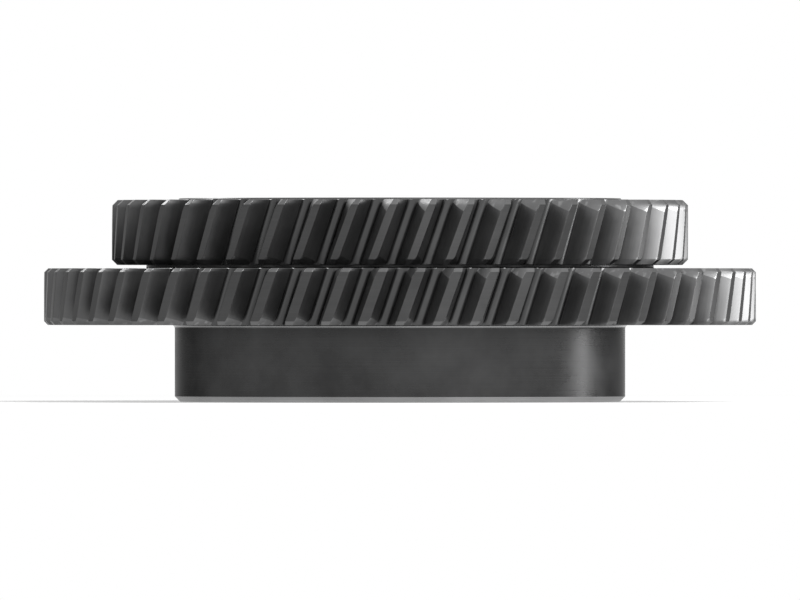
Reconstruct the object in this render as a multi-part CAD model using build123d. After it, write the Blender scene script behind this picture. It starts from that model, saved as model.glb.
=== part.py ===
from build123d import *
import math
import os

# Stepped double helical gear: a large and a small toothed rim side by side, a hub below them and a narrow
# land above, all one piece of steel round a plain bore. It stands on the end of its hub. The origin is on
# the gear's axis, in that end's plane, and -Y is the front. Sizes are in millimetres, angles in degrees.

# Teeth, the same system on both rims. Lengths of tooth are in modules.
NORMAL_MODULE = 3.0
PRESSURE_ANGLE = 16.0  # in the normal section
HELIX_ANGLE = 19.0  # right hand, at the pitch circle
ADDENDUM = 1.0  # before the profile shift
DEDENDUM = 1.2
FLANK_CHORDS = 2  # straight chords that an involute flank is drawn in

# Large rim
LARGE_TEETH = 60
LARGE_SHIFT = 0.195  # profile shift, in modules
LARGE_FACE_WIDTH = 15.7
LARGE_CHAMFER = 1.05
LARGE_INDEX = 1.68  # from the front to the middle of one tooth, half way up the rim

# Small rim
SMALL_TEETH = 47
SMALL_SHIFT = 0.79
SMALL_FACE_WIDTH = 18.0
SMALL_CHAMFER = 1.45
SMALL_INDEX = 4.27

# Bevel on the obtuse corner at each end of a tooth: full size at the tip and nothing near the root
BEVEL_HEIGHT = 3.2  # along the axis
BEVEL_DEPTH = 0.9  # into the tooth
BEVEL_FOOT = 0.8  # from the root circle to where the bevel runs out

# Hub, neck and land
HUB_DIAMETER = 125.0
HUB_LENGTH = 21.3
HUB_CHAMFER = 1.5
NECK_DIAMETER = 140.8
NECK_LENGTH = 0.95  # the gap between the rims
LAND_DIAMETER = 122.8
LAND_HEIGHT = 0.5
LAND_CHAMFER = 0.2

# Bore
BORE_DIAMETER = 80.0
BORE_CHAMFER = 1.5

# Levels, from the hub's end up
LARGE_BOTTOM = HUB_LENGTH
NECK_BOTTOM = LARGE_BOTTOM + LARGE_FACE_WIDTH
SMALL_BOTTOM = NECK_BOTTOM + NECK_LENGTH
LAND_BOTTOM = SMALL_BOTTOM + SMALL_FACE_WIDTH
TOTAL_LENGTH = LAND_BOTTOM + LAND_HEIGHT

TRANSVERSE_MODULE = NORMAL_MODULE / math.cos(math.radians(HELIX_ANGLE))
TRANSVERSE_PRESSURE = math.atan(math.tan(math.radians(PRESSURE_ANGLE)) / math.cos(math.radians(HELIX_ANGLE)))
OVERRUN = NECK_LENGTH / 2  # how far a tooth cut runs out past its rim
UPRIGHT = (Align.CENTER, Align.CENTER, Align.MIN)


def polar(radius, angle):
    return Vector(radius * math.cos(angle), radius * math.sin(angle))


def pitch_radius(teeth):
    return TRANSVERSE_MODULE * teeth / 2


def tip_radius(teeth, shift):
    return pitch_radius(teeth) + (ADDENDUM + shift) * NORMAL_MODULE


def root_radius(teeth, shift):
    return pitch_radius(teeth) - (DEDENDUM - shift) * NORMAL_MODULE


def twist(teeth, length):
    """How far the teeth turn over a length of the axis, in radians."""
    return length * math.tan(math.radians(HELIX_ANGLE)) / pitch_radius(teeth)


def pressure_at(teeth, radius):
    """The transverse pressure angle where the involute crosses one radius."""
    return math.acos(pitch_radius(teeth) * math.cos(TRANSVERSE_PRESSURE) / radius)


def space_half_angle(teeth, shift, radius):
    """Half the angle of a tooth space at one radius, between its two involute flanks."""
    tooth_at_pitch = (math.pi / 2 + 2 * shift * math.tan(math.radians(PRESSURE_ANGLE))) / teeth
    at_pitch = math.tan(TRANSVERSE_PRESSURE) - TRANSVERSE_PRESSURE
    angle = pressure_at(teeth, radius)
    return math.pi / teeth - tooth_at_pitch - at_pitch + math.tan(angle) - angle


def flank(teeth, shift, side):
    """One flank from the root circle out past the tip, in chords of its involute."""
    inner = root_radius(teeth, shift)
    outer = tip_radius(teeth, shift) + OVERRUN
    radii = [inner + (outer - inner) * i / FLANK_CHORDS for i in range(FLANK_CHORDS + 1)]
    return Polyline(*[polar(radius, side * space_half_angle(teeth, shift, radius)) for radius in radii])


def tooth_space(teeth, shift, height):
    """One tooth space swept up its helix. Half way up it lies about the X axis."""
    with BuildSketch() as section:
        with BuildLine():
            right = flank(teeth, shift, -1)
            left = flank(teeth, shift, 1)
            Line(right @ 0, left @ 0)
            Line(right @ 1, left @ 1)
        make_face()
    turn = math.degrees(twist(teeth, height))
    swept = Solid.extrude_linear_with_rotation(section.sketch.face(), (0, 0, 0), (0, 0, height), turn)
    return swept.rotate(Axis.Z, -turn / 2)


def end_bevel(teeth, shift, face_width, height):
    """A slab in the tooth space whose underside planes off the obtuse corner at the rim's top face."""
    top = (height + face_width) / 2

    def on_flank(radius, level, inset=0):
        turn = space_half_angle(teeth, shift, radius) + twist(teeth, level - height / 2)
        return polar(radius, turn + inset / radius) + Vector(0, 0, level)

    foot = on_flank(root_radius(teeth, shift) + BEVEL_FOOT, top)
    tip = on_flank(tip_radius(teeth, shift), top, BEVEL_DEPTH)
    low = on_flank(tip_radius(teeth, shift), top - BEVEL_HEIGHT)
    slab = Box(
        BEVEL_FOOT / 2 + (tip - foot).length + OVERRUN,
        (tip - low).length + 2 * OVERRUN,
        BEVEL_DEPTH + OVERRUN,
        align=(Align.MIN, Align.MAX, Align.MIN),
    )
    return Plane(foot, tip - foot, (tip - foot).cross(tip - low)) * Pos(-BEVEL_FOOT / 2, OVERRUN, 0) * slab


def toothed_rim(teeth, shift, face_width, tip_chamfer, index):
    """A disc with chamfered tips, cut through by its tooth spaces. Its lower face is at Z = 0."""
    height = face_width + 2 * OVERRUN
    bevel = end_bevel(teeth, shift, face_width, height)
    other_end = Axis((0, 0, height / 2), (1, 0, 0))
    cut = Pos(0, 0, -OVERRUN) * (tooth_space(teeth, shift, height) + bevel + bevel.rotate(other_end, 180))
    pitch = 360 / teeth
    first = index - 90 + pitch / 2
    disc = Cylinder(tip_radius(teeth, shift), face_width, align=UPRIGHT)
    disc = chamfer(disc.edges().filter_by(GeomType.CIRCLE), tip_chamfer)
    return disc - [cut.rotate(Axis.Z, first + pitch * i) for i in range(teeth)]


def hub():
    """The plain boss below the rims."""
    disc = Cylinder(HUB_DIAMETER / 2, HUB_LENGTH, align=UPRIGHT)
    return chamfer(disc.edges().group_by(Axis.Z)[0], HUB_CHAMFER)


def neck():
    return Cylinder(NECK_DIAMETER / 2, NECK_LENGTH, align=UPRIGHT)


def land():
    """The narrow raised face on top of the small rim."""
    disc = Cylinder(LAND_DIAMETER / 2, LAND_HEIGHT, align=UPRIGHT)
    return chamfer(disc.edges().group_by(Axis.Z)[-1], LAND_CHAMFER)


def bore():
    """The hole along the axis, opened out at both ends."""
    hole = Cylinder(BORE_DIAMETER / 2, TOTAL_LENGTH, align=UPRIGHT)
    mouth = Cone(BORE_DIAMETER / 2 + BORE_CHAMFER, BORE_DIAMETER / 2, BORE_CHAMFER, align=UPRIGHT)
    return hole + mouth + Pos(0, 0, TOTAL_LENGTH) * Rot(180, 0, 0) * mouth


def gear():
    large = toothed_rim(LARGE_TEETH, LARGE_SHIFT, LARGE_FACE_WIDTH, LARGE_CHAMFER, LARGE_INDEX)
    small = toothed_rim(SMALL_TEETH, SMALL_SHIFT, SMALL_FACE_WIDTH, SMALL_CHAMFER, SMALL_INDEX)
    body = hub() + Pos(0, 0, LARGE_BOTTOM) * large
    body += Pos(0, 0, NECK_BOTTOM) * neck()
    body += Pos(0, 0, SMALL_BOTTOM) * small
    body += Pos(0, 0, LAND_BOTTOM) * land()
    return body - bore()


os.makedirs("parts", exist_ok=True)
part = gear()
part.label = "gear_cluster"
export_step(part, "parts/gear_cluster.step")
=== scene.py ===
"""Looks for the stepped double helical gear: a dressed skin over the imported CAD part, its steel, and the room."""

import math
from dataclasses import dataclass

import bpy
import numpy as np
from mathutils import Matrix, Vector


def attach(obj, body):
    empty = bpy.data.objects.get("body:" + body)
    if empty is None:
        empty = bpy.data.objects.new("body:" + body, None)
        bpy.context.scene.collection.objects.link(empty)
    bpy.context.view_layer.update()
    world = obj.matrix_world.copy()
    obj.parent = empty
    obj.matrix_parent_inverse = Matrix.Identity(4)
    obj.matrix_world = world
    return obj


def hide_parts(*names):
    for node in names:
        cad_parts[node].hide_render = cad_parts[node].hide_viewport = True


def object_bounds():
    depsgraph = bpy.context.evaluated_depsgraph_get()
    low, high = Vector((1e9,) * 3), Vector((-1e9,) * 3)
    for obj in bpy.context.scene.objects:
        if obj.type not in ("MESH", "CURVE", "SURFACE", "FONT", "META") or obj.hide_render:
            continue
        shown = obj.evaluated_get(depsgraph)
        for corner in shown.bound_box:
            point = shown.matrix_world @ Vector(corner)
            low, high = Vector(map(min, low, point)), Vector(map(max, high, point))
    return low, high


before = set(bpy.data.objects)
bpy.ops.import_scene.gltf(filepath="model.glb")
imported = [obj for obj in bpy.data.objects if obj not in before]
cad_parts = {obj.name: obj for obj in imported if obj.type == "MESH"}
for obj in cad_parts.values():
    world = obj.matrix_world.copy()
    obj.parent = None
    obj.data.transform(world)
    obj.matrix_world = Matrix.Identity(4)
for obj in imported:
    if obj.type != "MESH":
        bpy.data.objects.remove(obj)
cad_low, cad_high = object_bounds()

MM = 0.001
TURN = 2 * math.pi

# ---------------------------------------------------------------- sizes, as in the part's source, in millimetres

MODULE = 3.0
PRESSURE = math.radians(16)
HELIX = math.radians(19)
TRANSVERSE = MODULE / math.cos(HELIX)
PRESSURE_T = math.atan(math.tan(PRESSURE) / math.cos(HELIX))
ADDENDUM, DEDENDUM = 1.0, 1.2  # in modules

HUB_R, HUB_CHAMFER, HUB_FILLET = 62.5, 1.5, 1.0
NECK_R, NECK_FILLET = 70.4, 0.35
LAND_R, LAND_TOP, LAND_CHAMFER = 61.4, 56.45, 0.2
BORE_R, BORE_CHAMFER = 40.0, 1.5

ROOT_FILLET = 1.4  # what the cutter's rounded tip leaves beside the root
EDGE = 0.07  # rounding along the tips
EDGE_MIDDLE = 0.3 * EDGE  # from the corner in to the middle of that rounding
BREAK = 0.14  # height of the brushed edge where the teeth meet the end faces
BREAK_DEEP = 0.8 * BREAK
BEVEL_ROOT_HIGH, BEVEL_ROOT_DEEP = 0.55, 0.4  # what a bevel comes down to at the root
BEVEL_TAPER = 0.85  # power by which its height grows from root to tip
BEVEL_FLAT = 0.55  # share of a bevel that is flat, the rest being rounded
RING_IN = 1.4  # from the root circle in to the plain ring of an end face

# ---------------------------------------------------------------- how finely the skin is drawn

SEGMENTS = 288  # round the hub, neck, land and bore
FLANK_STEPS, ROOT_STEPS, MIDDLE_STEPS = 8, 5, 6
HUB_FILLET_STEPS, NECK_FILLET_STEPS = 8, 3
BEVEL_MARKS = (0.22, 0.68, 1.0)  # shares of a bevel's height that have a row of points
BISECTIONS = 60

# kinds of surface, in the order of the gear's materials; the hub's lower chamfer and the upper part of its fillet
# take brighter copies of the turned steel, a painted reflection and a painted highlight
TURNED, TIP, FLANK, CHAMFER, BEVEL, FACE, FILLET_PAINTED_HIGHLIGHT, BORE, HUB_EDGE_PAINTED_REFLECTION, ROOT = range(10)


# ---------------------------------------------------------------- mesh


class Builder:
    """Rings of points round the gear's axis, joined up into one closed skin."""

    def __init__(self):
        self.points, self.count = [], 0
        self.faces, self.kinds, self.groups = [], [], []

    def add(self, xyz):
        """Takes points in mm and returns their numbers."""
        first = self.count
        self.points.append(xyz)
        self.count += len(xyz)
        return np.arange(first, self.count)

    def ring(self, radius, z, angles=None):
        if angles is None:
            angles = np.arange(SEGMENTS) * TURN / SEGMENTS
        heights = np.full(len(angles), float(z))
        return self.add(np.stack([radius * np.cos(angles), radius * np.sin(angles), heights], 1))

    def angles(self, ring):
        xyz = np.concatenate(self.points)[ring]
        return np.arctan2(xyz[:, 1], xyz[:, 0])

    def face(self, corners, kind, group):
        self.faces.append(tuple(int(corner) for corner in corners))
        self.kinds.append(kind)
        self.groups.append(group)

    def quads(self, lower, upper, surfaces):
        """Quads between two rings of the same count. They face outwards when upper is above lower."""
        for i, (kind, group) in enumerate(surfaces):
            j = (i + 1) % len(lower)
            self.face((lower[i], lower[j], upper[j], upper[i]), kind, group)

    def band(self, lower, upper, kind, group):
        """Quads of one kind."""
        self.quads(lower, upper, [(kind, group)] * len(lower))

    def turned(self, last, outline, kind, group):
        """Bands from a ring on through an outline of radius and height. Returns the last ring."""
        for radius, z in outline:
            ring = self.ring(radius, z)
            self.band(last, ring, kind, group)
            last = ring
        return last

    def zipper(self, inner, outer, up, kind, group):
        """Triangles between two rings in one level, of any counts."""

        def unrolled(ring):
            angles = self.angles(ring) % TURN
            start = int(np.argmin(angles))
            return np.roll(ring, -start), np.append(np.roll(angles, -start), angles[start] + TURN)

        a, a_angles = unrolled(inner)
        b, b_angles = unrolled(outer)
        i = j = 0
        while i < len(a) or j < len(b):
            p, q = a[i % len(a)], b[j % len(b)]
            if j >= len(b) or (i < len(a) and a_angles[i + 1] < b_angles[j + 1]):
                i += 1
                corners = (p, q, a[i % len(a)])
            else:
                j += 1
                corners = (p, q, b[j % len(b)])
            self.face(corners if up else corners[::-1], kind, group)

    def mesh(self, name, materials):
        mesh = bpy.data.meshes.new(name)
        centre = (cad_low + cad_high) / 2
        xyz = np.concatenate(self.points) * MM
        xyz += np.array([centre.x, centre.y, cad_low.z])
        mesh.from_pydata(xyz.tolist(), [], self.faces)
        for material in materials:
            mesh.materials.append(material)
        mesh.polygons.foreach_set("material_index", np.array(self.kinds, np.int32))
        mesh.polygons.foreach_set("use_smooth", np.ones(len(self.faces), bool))
        mesh.update()
        self.mark_sharp(mesh)
        return mesh

    def mark_sharp(self, mesh):
        """Edges between two smooth groups are sharp."""
        names, groups = np.unique(self.groups, return_inverse=True)
        edges = np.zeros(len(mesh.loops), np.int32)
        mesh.loops.foreach_get("edge_index", edges)
        sides = np.zeros(len(mesh.polygons), np.int32)
        mesh.polygons.foreach_get("loop_total", sides)
        group_at_loop = np.repeat(groups, sides)
        low = np.full(len(mesh.edges), len(names))
        high = np.full(len(mesh.edges), -1)
        np.minimum.at(low, edges, group_at_loop)
        np.maximum.at(high, edges, group_at_loop)
        mesh.edges.foreach_set("use_edge_sharp", low != high)


# ---------------------------------------------------------------- teeth


def involute(angle):
    return math.tan(angle) - angle


def rounding(share):
    """Share of a bevel's depth that is left at a share of its height."""
    return (1 - share) * (BEVEL_FLAT + (1 - BEVEL_FLAT) * (1 - share))


@dataclass
class Rim:
    """One toothed rim. Its sizes are in millimetres."""

    teeth: int
    shift: float  # of the profile, in modules
    bottom: float
    top: float
    chamfer: float  # on the tips at both end faces
    index: float  # degrees from the front to a tooth at mid height
    bevel_high: float  # height of the bevel at a tip, at the upper end
    bevel_low: float  # the same at the lower end
    bevel_deep: float  # depth of both at a tip

    def __post_init__(self):
        self.length = self.top - self.bottom
        self.pitch_r = TRANSVERSE * self.teeth / 2
        self.tip_r = self.pitch_r + (ADDENDUM + self.shift) * MODULE
        self.root_r = self.pitch_r - (DEDENDUM - self.shift) * MODULE
        self.foot_r = self.fillet_foot()
        self.columns = self.profile()
        self.upper_marks = sorted([*BEVEL_MARKS, self.chamfer_mark(self.bevel_high)])
        self.lower_marks = sorted([*BEVEL_MARKS, self.chamfer_mark(self.bevel_low)])

    def pressure_at(self, radius):
        return math.acos(self.pitch_r * math.cos(PRESSURE_T) / radius)

    def half_angle(self, radius):
        """Half the angle of a tooth at one radius, between its two involute flanks."""
        at_pitch = (math.pi / 2 + 2 * self.shift * math.tan(PRESSURE)) / self.teeth
        return at_pitch + involute(PRESSURE_T) - involute(self.pressure_at(radius))

    def fillet_foot(self):
        """The radius where the root fillet touches the flank."""
        low, high = self.root_r + 0.02, self.root_r + 3 * ROOT_FILLET  # the answer lies between
        for _ in range(BISECTIONS):
            foot = (low + high) / 2
            reach = foot**2 + 2 * foot * ROOT_FILLET * math.sin(self.pressure_at(foot))
            if reach + ROOT_FILLET**2 > (self.root_r + ROOT_FILLET) ** 2:
                high = foot
            else:
                low = foot
        return foot

    def root_arc(self):
        """The root fillet, from the flank down to the root circle: radius and angle."""
        turn, lean = self.half_angle(self.foot_r), self.pressure_at(self.foot_r)
        # in axes along the radius at the foot and towards the space
        away = np.array([math.sin(lean), math.cos(lean)])
        middle = np.array([self.foot_r, 0.0]) + ROOT_FILLET * away
        first = math.atan2(-away[1], -away[0])
        last = math.atan2(-middle[1], -middle[0])
        last += TURN * round((first - last) / TURN)
        for angle in np.linspace(first, last, ROOT_STEPS + 1)[1:]:
            x, y = middle + ROOT_FILLET * np.array([math.cos(angle), math.sin(angle)])
            yield math.hypot(x, y), turn + math.atan2(y, x)

    def profile(self):
        """Columns from the middle of a space to the next: radius, angle from the tooth's middle, and surface."""
        tip_angle = self.half_angle(self.tip_r)
        flat = tip_angle - EDGE / self.tip_r
        half = [(self.tip_r, flat * share, TIP) for share in (0.0, 0.5, 1.0)]
        half.append((self.tip_r - EDGE_MIDDLE, tip_angle - EDGE_MIDDLE / self.tip_r, TIP))
        for radius in np.linspace(self.tip_r - EDGE, self.foot_r, FLANK_STEPS + 1):
            half.append((radius, self.half_angle(radius), FLANK))
        half += [(radius, angle, FLANK) for radius, angle in self.root_arc()]
        half.append((self.root_r, math.pi / self.teeth, FLANK))
        return [(radius, -angle, kind) for radius, angle, kind in reversed(half)] + half[1:-1]

    def chamfer_mark(self, zone):
        """The share of a bevelled zone where the tips' chamfer ends."""
        return (self.chamfer - BREAK) / (zone - BREAK)

    def above_root(self, radius):
        """0 at the root, growing to 1 where the root fillet ends."""
        return min(1.0, (radius - self.root_r) / (self.foot_r - self.root_r))

    def bevel(self, radius, zone):
        """Height and depth of a bevel at one radius, for its height at the tip."""
        share = max(0.0, (radius - self.root_r) / (self.tip_r - self.root_r))
        high = BEVEL_ROOT_HIGH + (zone - BEVEL_ROOT_HIGH) * share**BEVEL_TAPER
        deep = BEVEL_ROOT_DEEP + (self.bevel_deep - BEVEL_ROOT_DEEP) * share
        return high, deep * self.above_root(radius)

    def distances(self, upper, lower):
        """Distances from the upper face of a column's rows, for the heights of its bevels."""
        top = [0.0, BREAK] + [BREAK + (upper - BREAK) * mark for mark in self.upper_marks]
        low = [0.0, BREAK] + [BREAK + (lower - BREAK) * mark for mark in self.lower_marks]
        between = np.linspace(top[-1], self.length - low[-1], MIDDLE_STEPS + 1)[1:-1]
        return [*top, *between, *(self.length - distance for distance in reversed(low))]

    def column(self, radius, angle, kind):
        """One column's points from the upper face down: radius, angle and height.

        The left side of a tooth is bevelled at its upper end and the right side at its lower end.
        """
        on_left, on_right = angle < 0, angle > 0
        zone = self.bevel_high if on_left else self.bevel_low
        if kind == TIP:
            high, deep = self.bevel(self.tip_r, zone)
            deep *= abs(angle) / self.half_angle(self.tip_r)
        else:
            high, deep = self.bevel(radius, zone)
        part = self.above_root(radius)
        points = []
        for down in self.distances(
            high if on_left else self.bevel_high, high if on_right else self.bevel_low
        ):
            near = min(down, self.length - down)
            from_bevelled = down if on_left else self.length - down
            tallest = self.tip_r - max(0.0, self.chamfer - near)
            squeeze = (tallest - self.root_r) / (self.tip_r - self.root_r)
            r = self.root_r + (radius - self.root_r) * squeeze
            cut = 0.0
            if from_bevelled < high:
                cut = deep * rounding(from_bevelled / high)
            elif kind == FLANK and near < BREAK / 2:
                r -= BREAK_DEEP * (1 - part)
                cut = BREAK_DEEP * part
            z = self.top - down
            twist = (z - self.bottom - self.length / 2) * math.tan(HELIX) / self.pitch_r
            points.append((r, angle - math.copysign(cut / r, angle) + twist, z))
        return points

    def surface(self, c, from_top, from_low):
        """Kind and smooth group of the quad after column c, in a band counted from both end faces."""
        ahead = (c + 1) % len(self.columns)
        kinds = {self.columns[c][2], self.columns[ahead][2]}
        from_end = from_top if c < len(self.columns) // 2 else from_low
        bevelled = from_end <= len(self.upper_marks)
        if TIP in kinds:
            # the marks start at a column's third row
            top_edge = from_top < 2 + self.upper_marks.index(self.chamfer_mark(self.bevel_high))
            low_edge = from_low < 2 + self.lower_marks.index(self.chamfer_mark(self.bevel_low))
            if top_edge or low_edge:
                return CHAMFER, "tip chamfers"
            if bevelled and FLANK in kinds:
                return BEVEL, "bevels"
            return TIP, "teeth"
        at_face = min(from_top, from_low) == 0
        group = "bevels" if bevelled else "edges" if at_face else "teeth"
        if max(self.columns[c][0], self.columns[ahead][0]) < self.foot_r:
            return ROOT, group
        return BEVEL if bevelled else FLANK, group

    def skin(self, b):
        """Adds the teeth. Returns their outline rings at the lower and upper faces."""
        grid = np.array([self.column(*column) for column in self.columns])
        starts = math.radians(self.index - 90) + np.arange(self.teeth) * TURN / self.teeth
        rings = []
        for row in range(grid.shape[1]):
            radii, angles, heights = grid[:, row].T
            a = (starts[:, None] + angles).ravel()
            r, z = np.tile(radii, self.teeth), np.tile(heights, self.teeth)
            rings.append(b.add(np.stack([r * np.cos(a), r * np.sin(a), z], 1)))
        for row, (upper, lower) in enumerate(zip(rings, rings[1:])):
            from_low = len(rings) - 2 - row
            tooth = [self.surface(c, row, from_low) for c in range(len(self.columns))]
            b.quads(lower, upper, tooth * self.teeth)
        return rings[-1], rings[0]

    def end_face(self, b, outline, circle, z, up):
        """An end face, from the teeth's outline in to a plain circle."""
        inner = b.ring(self.root_r - RING_IN, z, b.angles(outline))
        lower, upper = (outline, inner) if up else (inner, outline)
        b.band(lower, upper, FACE, "rim faces")
        b.zipper(circle, inner, up, FACE, "rim faces")


LARGE = Rim(
    teeth=60,
    shift=0.195,
    bottom=21.3,
    top=37.0,
    chamfer=1.05,
    index=1.68,
    bevel_high=2.9,
    bevel_low=2.1,
    bevel_deep=0.75,
)
SMALL = Rim(
    teeth=47,
    shift=0.79,
    bottom=37.95,
    top=55.95,
    chamfer=1.45,
    index=4.27,
    bevel_high=3.3,
    bevel_low=2.4,
    bevel_deep=0.85,
)


# ---------------------------------------------------------------- gear


def quarter(steps):
    return [math.pi / 2 * i / steps for i in range(1, steps + 1)]


def hub(b, end):
    """The hub's side, from the ring of its lower end up to the fillet's ring under the large rim."""
    # painted reflection: the hub's lower chamfer, which faces the floor, takes a much brighter copy of the turned
    # steel
    last = b.turned(end, [(HUB_R, HUB_CHAMFER)], HUB_EDGE_PAINTED_REFLECTION, "hub edge")
    top = LARGE.bottom - HUB_FILLET
    arc = [
        (HUB_R + HUB_FILLET * (1 - math.cos(a)), top + HUB_FILLET * math.sin(a))
        for a in quarter(HUB_FILLET_STEPS)
    ]
    last = b.turned(last, [(HUB_R, top), *arc[:2]], TURNED, "hub")
    # painted highlight: the fillet's upper steps, which face down towards the floor, take a far brighter copy of the
    # turned steel
    return b.turned(last, arc[2:], FILLET_PAINTED_HIGHLIGHT, "hub")


def neck(b, foot):
    """The neck between the rims, from the foot of its fillet up."""
    arc = [
        (
            NECK_R + NECK_FILLET * (1 - math.sin(a)),
            LARGE.top + NECK_FILLET * (1 - math.cos(a)),
        )
        for a in quarter(NECK_FILLET_STEPS)
    ]
    return b.turned(foot, [*arc, (NECK_R, SMALL.bottom)], TURNED, "neck")


def gear_mesh(materials):
    b = Builder()
    bore_low = b.ring(BORE_R, BORE_CHAMFER)
    mouth_low = b.turned(bore_low, [(BORE_R + BORE_CHAMFER, 0)], CHAMFER, "lower mouth")
    hub_end = b.turned(mouth_low, [(HUB_R - HUB_CHAMFER, 0)], FACE, "lower end")
    hub_top = hub(b, hub_end)
    low, high = LARGE.skin(b)
    LARGE.end_face(b, low, hub_top, LARGE.bottom, up=False)
    neck_foot = b.ring(NECK_R + NECK_FILLET, LARGE.top)
    LARGE.end_face(b, high, neck_foot, LARGE.top, up=True)
    neck_top = neck(b, neck_foot)
    low, high = SMALL.skin(b)
    SMALL.end_face(b, low, neck_top, SMALL.bottom, up=False)
    land_foot = b.ring(LAND_R, SMALL.top)
    SMALL.end_face(b, high, land_foot, SMALL.top, up=True)
    last = b.turned(land_foot, [(LAND_R, LAND_TOP - LAND_CHAMFER)], CHAMFER, "land side")
    last = b.turned(last, [(LAND_R - LAND_CHAMFER, LAND_TOP)], CHAMFER, "land edge")
    last = b.turned(last, [(BORE_R + BORE_CHAMFER, LAND_TOP)], FACE, "land")
    last = b.turned(last, [(BORE_R, LAND_TOP - BORE_CHAMFER)], CHAMFER, "upper mouth")
    b.band(last, bore_low, BORE, "bore")
    return b.mesh("gear_dressed", materials)


# ---------------------------------------------------------------- materials

CLOUDS, HAZE, GRAINS, CHIPS = 42.0, 13.0, 1700.0, 520.0  # scales of noise, to the metre
RELIEF = 0.00006  # height of the finest marks, in metres


class Nodes:
    """Short names for building a material's nodes."""

    def __init__(self, name):
        self.material = bpy.data.materials.new(name)
        self.material.use_nodes = True
        self.tree = self.material.node_tree
        self.shader = self.tree.nodes["Principled BSDF"]

    def new(self, kind, **values):
        node = self.tree.nodes.new(kind)
        for key, value in values.items():
            setattr(node, key, value)
        return node

    def link(self, a, b):
        self.tree.links.new(a, b)

    def feed(self, node, values):
        """Sets a node's inputs in order, to numbers or to other nodes' outputs."""
        for socket, value in zip(node.inputs, values):
            if isinstance(value, (int, float)):
                socket.default_value = value
            else:
                self.link(value, socket)
        return node.outputs[0]

    def maths(self, operation, *inputs):
        return self.feed(self.new("ShaderNodeMath", operation=operation), inputs)

    def product(self, first, *others):
        for other in others:
            first = self.maths("MULTIPLY", first, other)
        return first

    def vector(self, x, y, z):
        return self.feed(self.new("ShaderNodeCombineXYZ"), (x, y, z))

    def noise(self, vector, scale, detail=2.0, rough=0.5):
        node = self.new("ShaderNodeTexNoise")
        self.link(vector, node.inputs["Vector"])
        node.inputs["Scale"].default_value = scale
        node.inputs["Detail"].default_value = detail
        node.inputs["Roughness"].default_value = rough
        return node.outputs["Fac"]

    def spread(self, value, low, high, to_low, to_high):
        node = self.new("ShaderNodeMapRange")
        self.link(value, node.inputs["Value"])
        ends = {"From Min": low, "From Max": high, "To Min": to_low, "To Max": to_high}
        for key, number in ends.items():
            node.inputs[key].default_value = number
        return node.outputs["Result"]

    def vary(self, value, low, high, amount):
        """A factor that swings round 1 by an amount each way."""
        return self.spread(value, low, high, 1 - amount, 1 + amount)


def steel(
    name,
    tone,
    roughness,
    edge_tone,
    lines,
    smudge,
    line_step,
    bump,
    along_teeth=False,
    speck=0.0,
    metal=1.0,
):
    """Dark oiled steel. Fine tool lines run round the axis, or along the teeth, and smudges of oil lie over them."""
    n = Nodes(name)
    coords = n.new("ShaderNodeTexCoord").outputs["Object"]
    parts = n.new("ShaderNodeSeparateXYZ")
    n.link(coords, parts.inputs[0])
    x, y, z = parts.outputs
    radius = n.maths("SQRT", n.maths("ADD", n.product(x, x), n.product(y, y)))
    around = n.maths("ARCTAN2", y, x)
    step = 1 / (line_step * MM)
    # one tool line to a step across the lines, and slow changes along them
    if along_teeth:
        tool = n.vector(n.product(radius, step), n.product(z, 30), n.product(around, 6))
    else:
        tool = n.vector(n.product(radius, step), n.product(z, step), n.product(around, 0.8))
    tool_lines = n.noise(tool, 1.0, 3.0, 0.65)
    clouds = n.noise(coords, CLOUDS, 4.0, 0.62)
    haze = n.noise(coords, HAZE)
    grains = n.noise(coords, GRAINS)

    shade = n.product(
        n.vary(clouds, 0.34, 0.70, smudge),
        n.vary(haze, 0.35, 0.65, smudge * 0.6),
        n.vary(tool_lines, 0.3, 0.7, lines),
    )
    if speck:
        chips = n.noise(coords, CHIPS, 1.0)
        shade = n.product(shade, n.spread(chips, 0.60, 0.72, 1.0, 1 + speck))
    colour = n.new("ShaderNodeMix", data_type="RGBA", blend_type="MULTIPLY")
    colour.inputs["Factor"].default_value = 1.0
    colour.inputs["A"].default_value = (tone * 0.998, tone, tone * 1.006, 1)
    n.link(shade, colour.inputs["B"])
    n.link(colour.outputs["Result"], n.shader.inputs["Base Color"])

    oiled = n.spread(clouds, 0.3, 0.7, roughness - 0.05, roughness + 0.06)
    scored = n.spread(tool_lines, 0.3, 0.7, -0.02, 0.02)
    n.link(n.maths("ADD", oiled, scored), n.shader.inputs["Roughness"])

    height = n.maths("ADD", n.product(tool_lines, 0.8), n.product(grains, 0.35))
    relief = n.new("ShaderNodeBump")
    relief.inputs["Strength"].default_value = bump
    relief.inputs["Distance"].default_value = RELIEF
    n.link(height, relief.inputs["Height"])
    n.link(relief.outputs["Normal"], n.shader.inputs["Normal"])

    n.shader.inputs["Metallic"].default_value = metal
    n.shader.inputs["Specular Tint"].default_value = (edge_tone, edge_tone, edge_tone, 1)
    return n.material


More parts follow.
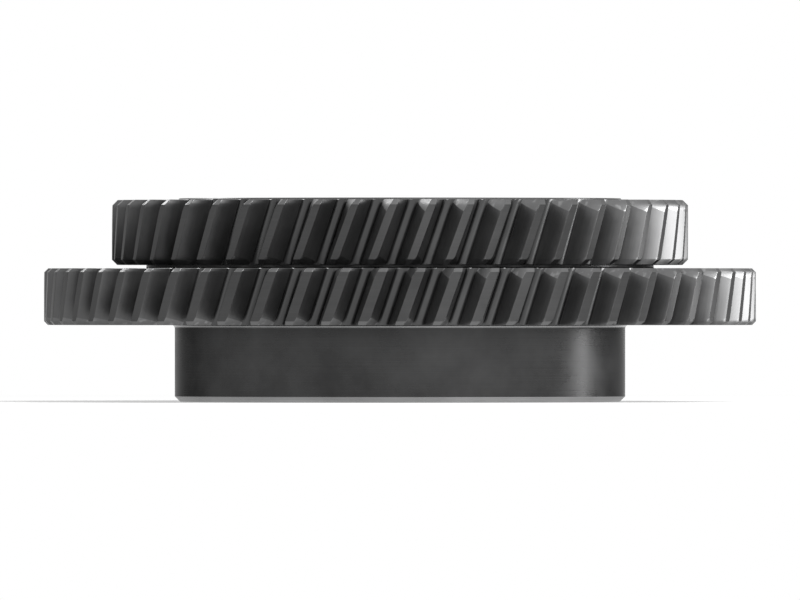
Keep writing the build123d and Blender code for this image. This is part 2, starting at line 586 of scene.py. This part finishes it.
def gear_materials():
    """One steel for each kind of surface: tone, roughness and edge tone, then its marks."""
    table = {
        TURNED: steel(
            "steel_turned", 0.055, 0.28, 0.42, lines=0.08, smudge=0.26, line_step=0.25, bump=0.10
        ),
        TIP: steel(
            "steel_tips", 0.066, 0.36, 0.6, lines=0.07, smudge=0.08, line_step=0.25, bump=0.08
        ),
        FLANK: steel(
            "steel_flanks", 0.108, 0.40, 0.6, lines=0.05, smudge=0.14, line_step=0.5, bump=0.05,
            along_teeth=True, metal=0.92,
        ),
        CHAMFER: steel(
            "steel_chamfers", 0.15, 0.30, 0.6, lines=0.10, smudge=0.10, line_step=0.12, bump=0.10
        ),
        BEVEL: steel(
            "steel_bevels", 0.155, 0.36, 0.6, lines=0.08, smudge=0.20, line_step=0.2, bump=0.12,
            speck=0.5,
        ),
        FACE: steel(
            "steel_faces", 0.08, 0.46, 0.6, lines=0.12, smudge=0.12, line_step=0.3, bump=0.12
        ),
        # painted highlight: a far brighter copy of the turned steel, for the upper part of the hub's fillet
        FILLET_PAINTED_HIGHLIGHT: steel(
            "steel_fillet_painted_highlight", 0.36, 0.26, 0.8, lines=0.08, smudge=0.10, line_step=0.15, bump=0.08
        ),
        BORE: steel(
            "steel_bore", 0.11, 0.25, 0.5, lines=0.06, smudge=0.10, line_step=0.2, bump=0.06
        ),
        # painted reflection: a much brighter copy of the turned steel, for the hub's lower chamfer that faces the
        # floor
        HUB_EDGE_PAINTED_REFLECTION: steel(
            "steel_hub_edge_painted_reflection", 0.42, 0.30, 0.8, lines=0.16, smudge=0.12, line_step=0.12, bump=0.10
        ),
        ROOT: steel(
            "steel_roots", 0.072, 0.30, 0.5, lines=0.04, smudge=0.10, line_step=0.4, bump=0.05,
            along_teeth=True,
        ),
    }  # fmt: skip
    return [table[kind] for kind in sorted(table)]


# ---------------------------------------------------------------- room, in metres

FILL = 0.30  # strength of the world's light on the gear
FLOOR_R, FLOOR_TONE = 3.0, 0.86
FLOOR_STEPS = 96
FLOOR_GAP = 0.05 * MM  # keeps the floor clear of the gear's lower face
NEAR_WHITE = 0.5  # share of plain white in the floor at the gear
FADE_FROM, FADE_TO = 0.22, 0.62  # where the floor turns to plain white
CAMERA_LENS, CAMERA_AWAY = 1200, 7.401


def backdrop_mask(tree):
    """1 for what the camera, a reflection or glass sees directly."""
    path = tree.nodes.new("ShaderNodeLightPath")
    total = path.outputs["Is Camera Ray"]
    for name in ("Is Glossy Ray", "Is Transmission Ray"):
        either = tree.nodes.new("ShaderNodeMath")
        either.operation = "MAXIMUM"
        tree.links.new(total, either.inputs[0])
        tree.links.new(path.outputs[name], either.inputs[1])
        total = either.outputs[0]
    return total


def white_sky(tree, strength):
    sky = tree.nodes.new("ShaderNodeBackground")
    sky.inputs["Color"].default_value = (1, 1, 1, 1)
    sky.inputs["Strength"].default_value = strength
    return sky.outputs[0]


def room():
    """White to look at, and a soft even light on the gear."""
    world = bpy.data.worlds.new("room")
    bpy.context.scene.world = world
    world.use_nodes = True
    world.cycles.sampling_method = "NONE"
    tree = world.node_tree
    tree.nodes.clear()
    mix = tree.nodes.new("ShaderNodeMixShader")
    tree.links.new(backdrop_mask(tree), mix.inputs["Fac"])
    tree.links.new(white_sky(tree, FILL), mix.inputs[1])
    tree.links.new(white_sky(tree, 1.0), mix.inputs[2])
    out = tree.nodes.new("ShaderNodeOutputWorld")
    tree.links.new(mix.outputs[0], out.inputs["Surface"])


def floor():
    """A pale floor that keeps the gear's shadow and fades to white away from it."""
    n = Nodes("floor_pale")
    n.material.cycles.emission_sampling = "NONE"
    n.tree.nodes.remove(n.shader)
    matt = n.new("ShaderNodeBsdfDiffuse")
    matt.inputs["Color"].default_value = (FLOOR_TONE, FLOOR_TONE, FLOOR_TONE, 1)
    white = n.new("ShaderNodeEmission")
    white.inputs["Strength"].default_value = 1.0
    coords = n.new("ShaderNodeTexCoord").outputs["Object"]
    distance = n.new("ShaderNodeVectorMath", operation="LENGTH")
    n.link(coords, distance.inputs[0])
    away = n.spread(distance.outputs["Value"], FADE_FROM, FADE_TO, NEAR_WHITE, 1.0)
    mix = n.new("ShaderNodeMixShader")
    n.link(n.product(away, backdrop_mask(n.tree)), mix.inputs["Fac"])
    n.link(matt.outputs[0], mix.inputs[1])
    n.link(white.outputs[0], mix.inputs[2])
    n.link(mix.outputs[0], n.tree.nodes["Material Output"].inputs["Surface"])

    angles = [TURN * i / FLOOR_STEPS for i in range(FLOOR_STEPS)]
    ring = [(FLOOR_R * math.cos(a), FLOOR_R * math.sin(a), 0) for a in angles]
    mesh = bpy.data.meshes.new("floor")
    mesh.from_pydata(ring, [], [tuple(range(FLOOR_STEPS))])
    mesh.materials.append(n.material)
    plane = bpy.data.objects.new("floor", mesh)
    plane.location = (0, 0, cad_low.z - FLOOR_GAP)
    bpy.context.scene.collection.objects.link(plane)


def lamp(name, azimuth, elevation, distance, wide, tall, radiance):
    """A soft box that faces the gear. Azimuth is from the camera's side towards the right."""
    a, e = math.radians(azimuth), math.radians(elevation)
    middle = (cad_low + cad_high) / 2
    way = Vector((math.sin(a) * math.cos(e), -math.cos(a) * math.cos(e), math.sin(e)))
    data = bpy.data.lights.new(name, "AREA")
    data.shape = "RECTANGLE"
    data.size, data.size_y = wide, tall
    data.energy = radiance * math.pi * wide * tall
    box = bpy.data.objects.new(name, data)
    box.location = middle + way * distance
    box.rotation_mode = "QUATERNION"
    box.rotation_quaternion = way.to_track_quat("Z", "Y")
    box.visible_camera = False
    bpy.context.scene.collection.objects.link(box)


def camera():
    """A long lens, level with the gear's middle, as in the photo."""
    data = bpy.data.cameras.new("camera")
    data.lens, data.sensor_width = CAMERA_LENS, 36
    data.clip_start, data.clip_end = 0.05, 60
    eye = bpy.data.objects.new("camera", data)
    middle = (cad_low + cad_high) / 2
    eye.location = (middle.x, middle.y - CAMERA_AWAY, middle.z)
    eye.rotation_euler = (math.pi / 2, 0, 0)
    bpy.context.scene.collection.objects.link(eye)
    bpy.context.scene.camera = eye


# ---------------------------------------------------------------- scene

bpy.context.scene.view_settings.view_transform = "Standard"
camera()
room()
floor()
lamp("key", azimuth=29, elevation=40, distance=2.2, wide=1.30, tall=1.15, radiance=17.0)
lamp("side", azimuth=106, elevation=4, distance=1.8, wide=0.26, tall=0.9, radiance=13.0)
lamp("kicker", azimuth=-145, elevation=35, distance=1.8, wide=0.35, tall=0.35, radiance=12.0)

gear = bpy.data.objects.new("gear_dressed", gear_mesh(gear_materials()))
bpy.context.scene.collection.objects.link(gear)
weights = gear.modifiers.new("normals", "WEIGHTED_NORMAL")
weights.keep_sharp = True
weights.weight = 60
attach(gear, "root")
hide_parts("gear_cluster")
